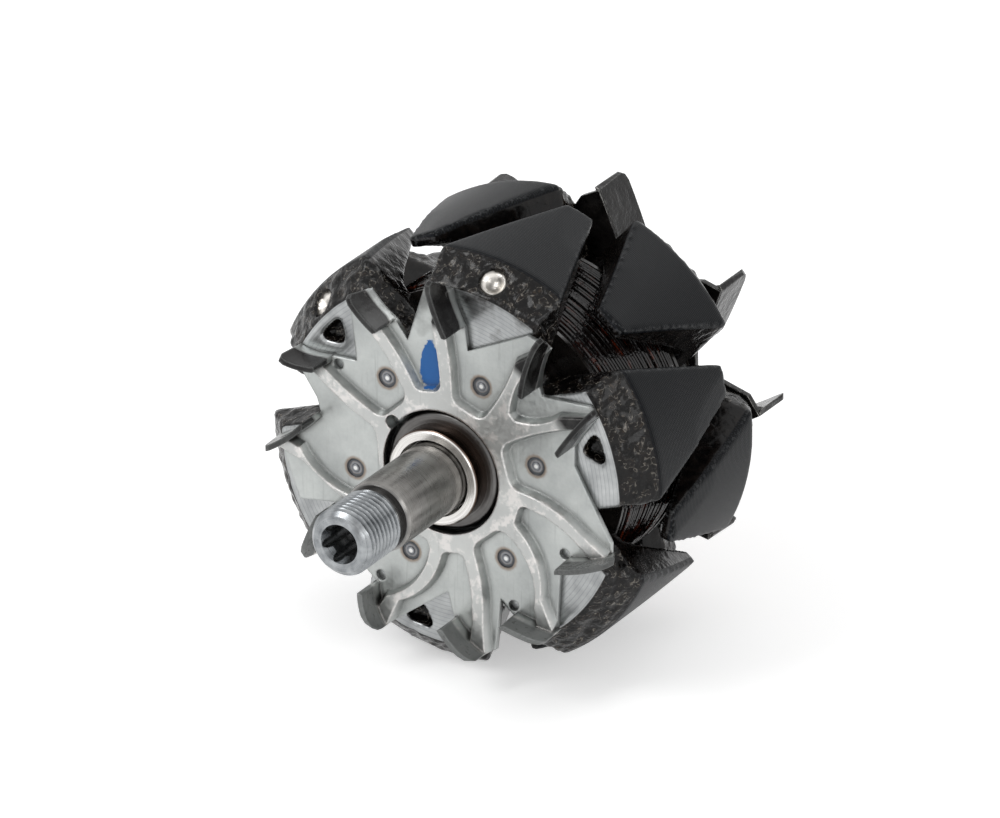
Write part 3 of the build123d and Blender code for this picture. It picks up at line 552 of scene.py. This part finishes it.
def enamelled_copper(name, round_the_shaft):
    """Winding wire: copper under dark amber enamel and varnish: near black, red-brown where light gets in.
    On turns round the shaft the tone changes along the wire, on the leads it changes alike all ways."""
    material, nt = blank(name)
    place, _, r, station, turn = round_shaft(nt)
    along = add(nt, "Math", (turn, 24.0), operation="MULTIPLY")
    along = add(nt, "CombineXYZ", (r, station, along))
    where = along if round_the_shaft else place
    size = 1.0 if round_the_shaft else 1000.0
    tone = add(nt, "TexNoise", {"Vector": where, "Scale": size / 1.6, "Detail": 3.0, "Roughness": 0.6})
    blobs = add(nt, "TexNoise", {"Vector": place, "Scale": 1000 / 2.4, "Detail": 3.0, "Roughness": 0.55})
    red = add(nt, "MapRange", (tone, 0.53, 0.7, 0.0, 0.9))
    colour = add(nt, "Mix", {0: red, 6: srgb("#120B09"), 7: srgb("#6B2A14")}, 2, data_type="RGBA")
    resin = add(nt, "MapRange", (blobs, 0.42, 0.54, 0.0, 0.92))
    colour = add(nt, "Mix", {0: resin, 6: colour, 7: srgb("#0B0909")}, 2, data_type="RGBA")
    relief = add(nt, "Bump", {"Height": blobs, "Strength": 0.7, "Distance": 0.6 * MM})
    shader = add(nt, "BsdfPrincipled", {"Base Color": colour, "Roughness": 0.14, "IOR": 1.55,
                                        "Normal": relief})
    add(nt, "OutputMaterial", (shader,))
    return material


def moulded_nylon():
    """Bobbin: glass filled nylon, moulded, under varnish: black with a soft gloss."""
    material, nt = blank("moulded_nylon")
    place = add(nt, "TexCoord", out="Object")
    grain = add(nt, "TexNoise", {"Vector": place, "Scale": 1000 / 1.5, "Detail": 4.0, "Roughness": 0.6})
    colour = add(nt, "Mix", {0: grain, 6: srgb("#0C0B0B"), 7: srgb("#24201D")}, 2, data_type="RGBA")
    rough = add(nt, "MapRange", (grain, 0.3, 0.7, 0.2, 0.4))
    relief = add(nt, "Bump", {"Height": grain, "Strength": 0.4, "Distance": 0.3 * MM})
    shader = add(nt, "BsdfPrincipled", {"Base Color": colour, "Roughness": rough, "IOR": 1.53,
                                        "Normal": relief})
    add(nt, "OutputMaterial", (shader,))
    return material


def cold_drawn_iron():
    """Core under the winding: drawn low carbon iron, dull grey under a film of varnish."""
    material, nt = blank("cold_drawn_iron")
    place = add(nt, "TexCoord", out="Object")
    grain = add(nt, "TexNoise", {"Vector": place, "Scale": 1000 / 2.0, "Detail": 4.0, "Roughness": 0.6})
    colour = add(nt, "Mix", {0: grain, 6: srgb("#242221"), 7: srgb("#4A4745")}, 2, data_type="RGBA")
    relief = add(nt, "Bump", {"Height": grain, "Strength": 0.3, "Distance": 0.2 * MM})
    shader = add(nt, "BsdfPrincipled", {"Base Color": colour, "Metallic": 0.7, "Roughness": 0.35,
                                        "Normal": relief})
    add(nt, "OutputMaterial", (shader,))
    return material


def machined_spacer():
    """Spacer rings: free cutting steel, faced and polished by the bearing: bright, with fine rings; the
    side keeps a brown heat tint."""
    material, nt = blank("machined_spacer_steel")
    place, _, r, station, turn = round_shaft(nt)
    marks = turning_marks(nt, r, station, turn, 0.35)
    cloud = add(nt, "TexNoise", {"Vector": place, "Scale": 1000 / 4.0, "Detail": 4.0})
    tone = add(nt, "MapRange", (marks, 0.35, 0.65, 0.0, 1.0))
    colour = add(nt, "Mix", {0: tone, 6: srgb("#BEBBB7"), 7: srgb("#EBE9E6")}, 2, data_type="RGBA")
    tint = add(nt, "Mix", {0: cloud, 6: srgb("#352A25"), 7: srgb("#6E5C51")}, 2, data_type="RGBA")
    side = band(nt, r, RING_SIDE_R, FAR, 0.1)
    colour = add(nt, "Mix", {0: side, 6: colour, 7: tint}, 2, data_type="RGBA")
    rough = add(nt, "MapRange", (marks, 0.3, 0.7, 0.16, 0.3))
    relief = add(nt, "Bump", {"Height": marks, "Strength": 0.25, "Distance": 0.03 * MM})
    shader = add(nt, "BsdfPrincipled", {"Base Color": colour, "Metallic": 1.0, "Roughness": rough,
                                        "Normal": relief})
    add(nt, "OutputMaterial", (shader,))
    return material


def turned_copper(name, low, high):
    """Slip rings, bars and tabs: drawn copper, turned: warm metal with fine rings and a little tarnish."""
    material, nt = blank(name)
    place, _, r, station, turn = round_shaft(nt)
    marks = turning_marks(nt, r, station, turn, 0.3, detail=2.0)
    tarnish = add(nt, "TexNoise", {"Vector": place, "Scale": 1000 / 5.0, "Detail": 4.0})
    tone = add(nt, "Math", (marks, 0.4, tarnish), operation="MULTIPLY_ADD")
    tone = add(nt, "MapRange", (tone, 0.5, 0.9, 0.0, 1.0))
    colour = add(nt, "Mix", {0: tone, 6: srgb(low), 7: srgb(high)}, 2, data_type="RGBA")
    rough = add(nt, "MapRange", (marks, 0.3, 0.7, 0.18, 0.32))
    relief = add(nt, "Bump", {"Height": marks, "Strength": 0.25, "Distance": 0.03 * MM})
    shader = add(nt, "BsdfPrincipled", {"Base Color": colour, "Metallic": 1.0, "Roughness": rough,
                                        "Normal": relief})
    add(nt, "OutputMaterial", (shader,))
    return material


def moulded_phenolic():
    """Slip ring body: phenolic moulding: dull black with fine filler specks."""
    material, nt = blank("moulded_phenolic")
    place = add(nt, "TexCoord", out="Object")
    specks = add(nt, "TexNoise", {"Vector": place, "Scale": 1000 / 0.5, "Detail": 2.0})
    tone = add(nt, "MapRange", (specks, 0.62, 0.72, 0.0, 1.0))
    colour = add(nt, "Mix", {0: tone, 6: srgb("#151413"), 7: srgb("#3A3632")}, 2, data_type="RGBA")
    relief = add(nt, "Bump", {"Height": specks, "Strength": 0.2, "Distance": 0.05 * MM})
    shader = add(nt, "BsdfPrincipled", {"Base Color": colour, "Roughness": 0.48, "IOR": 1.6,
                                        "Normal": relief})
    add(nt, "OutputMaterial", (shader,))
    return material


def varnished_glass_sleeve(name):
    """Sleeve on the wire's end: woven glass fibre soaked in varnish: tan with a fine crossed weave."""
    material, nt = blank(name)
    place = add(nt, "TexCoord", out="Object")
    # strands crossing at right angles; the wave texture repeats every 2 pi / 20 of its own unit
    turned = add(nt, "Mapping", {"Vector": place, "Rotation": (0.0, 0.0, math.radians(45))})
    strands = {"Vector": turned, "Scale": 2 * math.pi / (20 * STRAND * MM)}
    one, two = [add(nt, "TexWave", strands, out="Fac", bands_direction=way) for way in "XY"]
    weave = add(nt, "Math", (one, two), operation="MAXIMUM")
    soak = add(nt, "TexNoise", {"Vector": place, "Scale": 1000 / 3.0, "Detail": 3.0})
    dry = add(nt, "Mix", {0: weave, 6: srgb("#4A3A2A"), 7: srgb("#A08A68")}, 2, data_type="RGBA")
    wet = add(nt, "MapRange", (soak, 0.4, 0.6, 0.1, 0.8))
    colour = add(nt, "Mix", {0: wet, 6: dry, 7: srgb("#2A1D14")}, 2, data_type="RGBA")
    rough = add(nt, "MapRange", (soak, 0.4, 0.6, 0.6, 0.3))
    relief = add(nt, "Bump", {"Height": weave, "Strength": 0.6, "Distance": 0.15 * MM})
    shader = add(nt, "BsdfPrincipled", {"Base Color": colour, "Roughness": rough, "Normal": relief})
    add(nt, "OutputMaterial", (shader,))
    return material


# pieces

def piece(name, grids, material, slot, *nodes):
    """Mesh of grids of points P(copy, u, v) in mm: each point joins the next along u and round v. v closes
    on itself, a row at radius 0 becomes a pole, and a last row laid on the first closes the tube. The piece
    stands for the nodes."""
    points, quads, start = [], [], 0
    for grid in grids:
        copies, rows, columns = grid.shape[:3]
        index = start + np.arange(copies * rows * columns).reshape(copies, rows, columns)
        low, high = index[:, :-1], index[:, 1:]
        quads.append(np.stack([low, np.roll(low, -1, 2), np.roll(high, -1, 2), high], -1).reshape(-1, 4))
        points.append(grid.reshape(-1, 3) * MM)
        start += copies * rows * columns
    mesh = bpy.data.meshes.new(name)
    mesh.from_pydata(np.concatenate(points).tolist(), [], np.concatenate(quads).tolist())
    bm = bmesh.new()
    bm.from_mesh(mesh)
    bmesh.ops.remove_doubles(bm, verts=bm.verts, dist=MERGE_DIST * MM)
    bmesh.ops.recalc_face_normals(bm, faces=bm.faces)
    bm.to_mesh(mesh)
    bm.free()
    mesh.polygons.foreach_set("use_smooth", np.ones(len(mesh.polygons), bool))
    mesh.set_sharp_from_angle(angle=math.radians(SHARP_ANGLE))
    mesh.materials.append(material)
    made = bpy.data.objects.new(name, mesh)
    bpy.context.scene.collection.objects.link(made)
    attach(made, "root")
    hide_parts(*nodes)
    return made


def rounded_lobes(theta):
    """Socket wall: the radius at an angle is the ray's outer crossing with the nearest of six lobe circles
    round the bore, or the bore itself."""
    pitch = math.radians(60)
    off = np.mod(theta - math.radians(SOCKET_TURN) + pitch / 2, pitch) - pitch / 2
    under = SOCKET_LOBE_R ** 2 - (SOCKET_R * np.sin(off)) ** 2
    lobe = SOCKET_R * np.cos(off) + np.sqrt(np.maximum(under, 0))
    return np.where(under > 0, np.maximum(lobe, SOCKET_R), SOCKET_R)


def screw_radius(station, theta):
    """Radius of the thread: crest, straight flank and root repeat once a pitch along the shaft and once a
    turn, cut down by the end's chamfer and by the run-out into the undercut."""
    phase = np.mod(station / THREAD_PITCH + theta / (2 * math.pi), 1.0)
    fall = np.clip((np.abs(2 * phase - 1) - THREAD_CREST) / (THREAD_ROOT - THREAD_CREST), 0, 1)
    thread = THREAD_R - THREAD_DEPTH * fall
    chamfer = THREAD_R - THREAD_CHAMFER + (station - TIP_Y)
    runout = UNDERCUT_R + (THREAD_END_Y + RUNOUT_LEN - station) * (THREAD_R - UNDERCUT_R) / RUNOUT_LEN
    return np.minimum(np.minimum(thread, chamfer), np.maximum(runout, UNDERCUT_R))


def shaft_surface(columns=240):
    """Whole shaft as one grid: rows run from the drill point in the socket, out over the face, and back
    along the outside to the far end; every row is a closed line R(theta), Y."""
    theta = np.linspace(0, 2 * math.pi, columns, endpoint=False)
    star = rounded_lobes(theta)
    floor_y = TIP_Y + SOCKET_DEPTH
    ones = np.ones(columns)
    rows = [(0 * ones, TIP_Y + DRILL_DEPTH + DRILL_TIP), (DRILL_R * ones, TIP_Y + DRILL_DEPTH),
            (DRILL_R * ones, floor_y), (star, floor_y)]
    for y in np.linspace(TIP_Y + SOCKET_MOUTH_LEN, TIP_Y, 14):
        cone = SOCKET_MOUTH_R - (SOCKET_MOUTH_R - SOCKET_R) * (y - TIP_Y) / SOCKET_MOUTH_LEN
        rows.append((np.maximum(star, cone), y))
    for y in np.linspace(TIP_Y, THREAD_END_Y + RUNOUT_LEN, 147):
        rows.append((screw_radius(y, theta), y))
    rows += [(r * ones, y) for r, y in (
        (UNDERCUT_R, JOURNAL_Y), (SEAT_R - 0.7, JOURNAL_Y), (SEAT_R - 0.15, JOURNAL_Y + 0.65),
        (SEAT_R, JOURNAL_Y + 1.0), (SEAT_R, RING_FACE_Y - 1.0), (SEAT_R - RELIEF_DEEP, RING_FACE_Y - 1.0),
        (SEAT_R - RELIEF_DEEP, RING_FACE_Y + 0.4), (SEAT_R, RING_FACE_Y + 0.4), (SEAT_R, FRONT_BOSS_Y),
        (BODY_R, FRONT_BOSS_Y), (BODY_R, REAR_BOSS_Y))]
    # behind the poles two grooves hold the slip ring body's tongues: a flat floor between upright walls
    groove = FAR * ones
    for angle in GROOVE_ANGLES:
        off = np.mod(theta - math.radians(angle) + math.pi, 2 * math.pi) - math.pi
        flat_floor = GROOVE_FLOOR_R / np.maximum(np.cos(off), 0.01)
        wall = GROOVE_HALF / np.maximum(np.abs(np.sin(off)), 0.01)
        groove = np.minimum(groove, np.where(np.abs(off) < 0.5, np.maximum(flat_floor, wall), FAR))
    rows += [(np.minimum(r, groove), y) for r, y in (
        (SEAT_R, REAR_BOSS_Y), (SEAT_R, REAR_RING_Y - 0.4), (SEAT_R - RELIEF_DEEP, REAR_RING_Y - 0.4),
        (SEAT_R - RELIEF_DEEP, REAR_RING_Y + 1.0), (SEAT_R, REAR_RING_Y + 1.0),
        (SEAT_R, REAR_SEAT_END_Y - 0.6), (SEAT_R - 0.6, REAR_SEAT_END_Y))]
    rows += [(STUB_R * ones, REAR_SEAT_END_Y), (STUB_R * ones, SHAFT_END_Y), (0 * ones, SHAFT_END_Y)]
    radius = np.array([r for r, y in rows])
    station = np.array([y for r, y in rows])[:, None] + 0 * radius
    return np.stack([radius * np.cos(theta), station, radius * np.sin(theta)], -1)[None]


def wire_turns(count, seed, columns=8, steps=180):
    """Top layer of the winding: each turn is a ring of wire of radius WIRE_R whose centre wanders a little
    in radius and along the shaft, as sums of slow sines round the shaft with random phases. The turns
    nearest the flanges lie deeper."""
    rng = np.random.default_rng(seed)
    theta = np.linspace(0, 2 * math.pi, steps + 1)[None, :, None]
    phi = np.linspace(0, 2 * math.pi, columns, endpoint=False)[None, None, :]
    first, last = COIL_START_Y + WIRE_R + 0.1, COIL_END_Y - WIRE_R - 0.1
    home = np.linspace(first, last, count)[:, None, None]
    wander_y, wander_r = 0, 0
    for k in (1, 2, 3, 5, 8):
        phase = rng.uniform(0, 2 * math.pi, (2, count, 1, 1))
        size = rng.uniform(0.0, 0.22, (2, count, 1, 1)) / k ** 0.4
        wander_y = wander_y + 1.3 * size[0] * np.sin(k * theta + phase[0])
        wander_r = wander_r + size[1] * np.sin(k * theta + phase[1])
    middle_y = np.clip(home + wander_y, COIL_START_Y + WIRE_R, COIL_END_Y - WIRE_R)
    middle_r = COIL_OUT_R - WIRE_R - 0.22 + rng.uniform(-0.25, 0.05, (count, 1, 1)) + 0.5 * wander_r
    middle_r = np.minimum(middle_r, COIL_OUT_R - WIRE_R)
    drop = np.clip(2.6 - np.minimum(home - COIL_START_Y, COIL_END_Y - home), 0, 2) * 0.45
    radius = middle_r - drop + WIRE_R * np.cos(phi)
    station = middle_y + WIRE_R * np.sin(phi) + 0 * theta
    return np.stack([radius * np.cos(theta), station, radius * np.sin(theta)], -1)


def winding_body(columns=120):
    """Lower layers: a closed ring, its section a rectangle with eased outer corners, carried round the
    shaft."""
    theta = np.linspace(0, 2 * math.pi, columns, endpoint=False)
    top = COIL_OUT_R - 1.15
    section = np.array([(COIL_IN_R, COIL_START_Y), (top - 1.1, COIL_START_Y), (top, COIL_START_Y + 2.5),
                        (top, COIL_END_Y - 2.5), (top - 1.1, COIL_END_Y), (COIL_IN_R, COIL_END_Y),
                        (COIL_IN_R, COIL_START_Y)])
    radius, station = section[:, 0][:, None], section[:, 1][:, None] + 0 * theta
    return np.stack([radius * np.cos(theta), station, radius * np.sin(theta)], -1)[None]


def wrinkle_lift(at, face_y, side, drillings):
    """How far the varnish stands at each point, in mm: the mean of plane waves of random direction, length
    and phase, most on the shoulder and not at all in the drillings, on the face or on the claws' outside."""
    rng = np.random.default_rng(11)
    ways = rng.normal(size=(WRINKLE_WAVES, 3))
    lengths = rng.uniform(*WRINKLE_LENGTHS, WRINKLE_WAVES)
    ways = ways / np.linalg.norm(ways, axis=1)[:, None] * (2 * math.pi / lengths)[:, None]
    wrinkle = np.sin(at @ ways.T + rng.uniform(0, 2 * math.pi, WRINKLE_WAVES)).sum(1) / WRINKLE_WAVES
    radius = np.hypot(at[:, 0], at[:, 2])
    depth = (at[:, 1] - face_y) * side
    varnished = np.clip(depth / 0.8, 0, 1) * np.clip((POLE_R - 0.9 - radius) / 0.8, 0, 1)
    shoulder = np.clip(depth / 1.0, 0, 1) * np.clip((SHOULDER_LEN - 0.4 - depth) / 0.8, 0, 1)
    shoulder = shoulder * np.clip((radius - FACE_R + 1.0) / 0.8, 0, 1)
    for angle in drillings:
        away = np.linalg.norm(at - drilling_mouth(angle, face_y, side), axis=1)
        shoulder = shoulder * np.clip(away - DRILLING_MOUTH_R - 0.35, 0, 1)
    return wrinkle * (WRINKLE_ALL_OVER * varnished + WRINKLE_SHOULDER * shoulder)


def forged_pole(end, face_y, side):
    """Pole with the soft edges of a forging. A copy of the solid is merged, remeshed on small cells and
    relaxed, so an edge turns through about a millimetre. Each point then moves along its normal by the
    varnish's wrinkles."""
    node, drillings = end + "_pole", DRILLING_ANGLES[end]
    made = bpy.data.objects.new("forged_" + node, NODES[node].data.copy())
    bpy.context.scene.collection.objects.link(made)
    bm = bmesh.new()
    bm.from_mesh(made.data)
    bmesh.ops.remove_doubles(bm, verts=bm.verts, dist=MERGE_DIST * MM)
    bm.to_mesh(made.data)
    bm.free()
    cells = made.modifiers.new("cells", "REMESH")
    cells.mode = "VOXEL"
    cells.voxel_size = POLE_CELL * MM
    relax = made.modifiers.new("relax", "SMOOTH")
    relax.factor = 0.5
    relax.iterations = RELAX_STEPS
    mesh = bpy.data.meshes.new_from_object(made.evaluated_get(bpy.context.evaluated_depsgraph_get()))
    made.modifiers.clear()
    made.data = mesh
    count = len(mesh.vertices)
    at, out = np.empty(3 * count, np.float32), np.empty(3 * count, np.float32)
    mesh.vertices.foreach_get("co", at)
    mesh.vertex_normals.foreach_get("vector", out)
    at, out = at.reshape(-1, 3) / MM, out.reshape(-1, 3)
    at = at + out * wrinkle_lift(at, face_y, side, drillings)[:, None]
    mesh.vertices.foreach_set("co", (at * MM).astype(np.float32).ravel())
    mesh.polygons.foreach_set("use_smooth", np.ones(len(mesh.polygons), bool))
    mesh.materials.clear()
    mesh.materials.append(varnished_iron("varnished_iron_" + end, face_y, side, drillings))
    mesh.update()
    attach(made, "root")
    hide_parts(node)


def dress(node, material):
    """Gives a solid's every slot the material."""
    slots = NODES[node].data.materials
    for i in range(len(slots)):
        slots[i] = material
    if not slots:
        slots.append(material)


piece("turned_shaft", [shaft_surface()], ground_steel(), "shaft_steel", "shaft")
piece("wound_wire", [wire_turns(28, 7), winding_body()], enamelled_copper("enamelled_copper", True),
      "winding_copper", "field_winding")
forged_pole("front", POLE_FACE_Y, 1.0)
forged_pole("rear", REAR_FACE_Y, -1.0)
dress("front_fan", pressed_sheet())
dress("rear_fan", varnished_sheet())
dress("bobbin", moulded_nylon())
dress("pole_core", cold_drawn_iron())
spacer = machined_spacer()
dress("front_spacer_ring", spacer)
dress("rear_spacer_ring", spacer)
slip_copper = turned_copper("turned_slip_copper", "#9A5636", "#D8936B")
bar_copper = turned_copper("drawn_bar_copper", "#8A4A2C", "#C47A50")
for ring in ("slip_ring_inner", "slip_ring_outer"):
    dress(ring, slip_copper)
for letter in "ab":
    dress("slip_bar_" + letter, bar_copper)
    dress("terminal_" + letter, bar_copper)
    dress("lead_" + letter, enamelled_copper("enamelled_lead_" + letter, False))
    dress("lead_sleeve_" + letter, varnished_glass_sleeve("varnished_glass_sleeve_" + letter))
dress("slip_ring_body", moulded_phenolic())


# stage, light and camera

def camera_axes(azimuth, elevation):
    """Right, up and back directions of a camera at these angles."""
    a, e = math.radians(azimuth), math.radians(elevation)
    right = Vector((math.cos(a), math.sin(a), 0))
    back = Vector((math.sin(a) * math.cos(e), -math.cos(a) * math.cos(e), math.sin(e)))
    return right, back.cross(right), back


def photo_camera():
    """Camera at the photograph's angle and distance, looking at the rotor from the drive end."""
    right, up, back = camera_axes(CAMERA_AZIMUTH, CAMERA_ELEVATION)
    eye = Vector((0, FAN_PAD_Y * MM, 0)) + back * CAMERA_DISTANCE
    eye = eye + right * CAMERA_ACROSS + up * CAMERA_ABOVE
    data = bpy.data.cameras.new("photo_camera")
    data.sensor_fit = "HORIZONTAL"
    data.sensor_width = SENSOR_MM
    data.lens = FOCAL_PX / FRAME_WIDTH_PX * SENSOR_MM
    data.clip_start = 0.1
    data.clip_end = 50.0
    camera = bpy.data.objects.new("photo_camera", data)
    turn = Matrix((right, up, back)).transposed().to_4x4()
    camera.matrix_world = Matrix.Translation(eye) @ turn
    bpy.context.scene.collection.objects.link(camera)
    bpy.context.scene.camera = camera


def soft_light(name, place, power):
    """Square soft white lamp at a place, facing the rotor."""
    data = bpy.data.lights.new(name, "AREA")
    data.shape = "SQUARE"
    data.size = LIGHT_SIZE
    data.energy = power
    light = bpy.data.objects.new(name, data)
    light.location = place
    aim = Vector(LIGHT_TARGET) - Vector(place)
    light.rotation_euler = aim.to_track_quat("-Z", "Y").to_euler()
    bpy.context.scene.collection.objects.link(light)


def white_floor():
    """Pale floor under the rotor, white to the camera, that keeps the rotor's shadow."""
    s, z = FLOOR_HALF, CAD_BOX[0][2] - FLOOR_GAP
    mesh = bpy.data.meshes.new("floor")
    mesh.from_pydata([(-s, -s, z), (s, -s, z), (s, s, z), (-s, s, z)], [], [(0, 1, 2, 3)])
    floor = bpy.data.objects.new("floor", mesh)
    bpy.context.scene.collection.objects.link(floor)
    material, nt = blank("white_floor")
    glow = add(nt, "Math", (seen_directly(nt), FLOOR_GLOW), operation="MULTIPLY")
    shader = add(nt, "BsdfPrincipled", {"Base Color": (0.9, 0.9, 0.9, 1), "Roughness": 0.9,
                                        "Emission Color": (1, 1, 1, 1), "Emission Strength": glow})
    add(nt, "OutputMaterial", (shader,))
    mesh.materials.append(material)


def white_world():
    """Plain even light from all round, white behind the rotor."""
    world = bpy.data.worlds.new("studio")
    bpy.context.scene.world = world
    world.use_nodes = True
    nt = world.node_tree
    nt.nodes.clear()
    strength = add(nt, "Mix", {0: seen_directly(nt), 2: WORLD_LIGHT, 3: WORLD_SEEN}, 0, data_type="FLOAT")
    back = add(nt, "Background", {"Color": (1, 1, 1, 1), "Strength": strength})
    add(nt, "OutputWorld", (back,))


photo_camera()
white_floor()
white_world()
soft_light("key_light", (-0.5, -0.7, 0.9), 5.0)
soft_light("side_light", (0.9, -0.5, 0.5), 2.0)
soft_light("back_light", (0.2, 0.9, 0.8), 1.5)
bpy.context.scene.view_settings.view_transform = "Standard"
